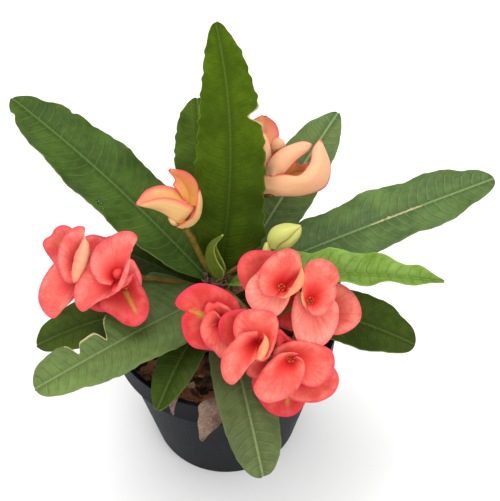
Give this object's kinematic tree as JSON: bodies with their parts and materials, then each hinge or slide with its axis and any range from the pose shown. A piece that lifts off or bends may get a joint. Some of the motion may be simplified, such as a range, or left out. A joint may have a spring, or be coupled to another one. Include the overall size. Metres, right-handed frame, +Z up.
{
  "type": "potted flowering plant",
  "caption": "Crown of thorns in bloom in a black nursery pot: spiny woody stem, long waved leaves and stalked bunches of broad coral and peach bracts.",
  "frame": {"origin": "centre of the pot's flat base", "axes": "+Z up along the pot's axis; the pictured side faces -Y, with the long right-hand leaf towards +X"},
  "size_m": [0.2844, 0.2142, 0.2635],
  "materials": {
    "pot": "satin black polypropylene",
    "potting_mix": "loose composted bark",
    "stem_bark": "rough grey-brown bark",
    "stalk": "smooth green-brown skin",
    "leaf": "leathery, satin",
    "leaf_shaded": "leathery, satin",
    "leaf_young": "soft, satin",
    "bract_coral": "fine, softly glossy",
    "bract_pink": "fine, softly glossy",
    "bract_peach": "fine, softly glossy",
    "bract_bud": "fine, softly glossy",
    "dead_leaf": "dry, papery",
    "bark_strip": "dry, fibrous"
  },
  "bodies": {
    "root": {"pot": "pot", "potting_mix": "potting_mix", "stem": "stem_bark", "stalk_main": "stalk", "stalk_left": "stalk", "stalk_young_left": "stalk", "stalk_young_right": "stalk", "stalk_bud": "stalk", "leaf_upright": "leaf", "leaf_back_left": "leaf", "leaf_back_right": "leaf", "leaf_left": "leaf", "leaf_right": "leaf", "leaf_young_right": "leaf_young", "leaf_low_right": "leaf_shaded", "leaf_front": "leaf_shaded", "leaf_front_small": "leaf_shaded", "leaf_front_left": "leaf", "leaf_low_left": "leaf_shaded", "leaf_hidden_left": "leaf_shaded", "leaf_bud": "leaf_young", "bloom_main_upper": "bract_coral", "bloom_main_right": "bract_coral", "bloom_main_left": "bract_coral", "bloom_main_middle": "bract_coral", "bloom_main_lower": "bract_coral", "bloom_main_rear_left": "bract_coral", "bloom_main_rear_right": "bract_coral", "bloom_main_under": "bract_coral", "bloom_left_front": "bract_pink", "bloom_left_middle": "bract_pink", "bloom_left_rear": "bract_pink", "bloom_left_under": "bract_pink", "bloom_young_left_single": "bract_peach", "bloom_young_right_right": "bract_peach", "bloom_young_right_rear": "bract_peach", "bloom_bud_single": "bract_bud", "dead_leaf": "dead_leaf", "bark_strip": "bark_strip"}
  },
  "joints": []
}
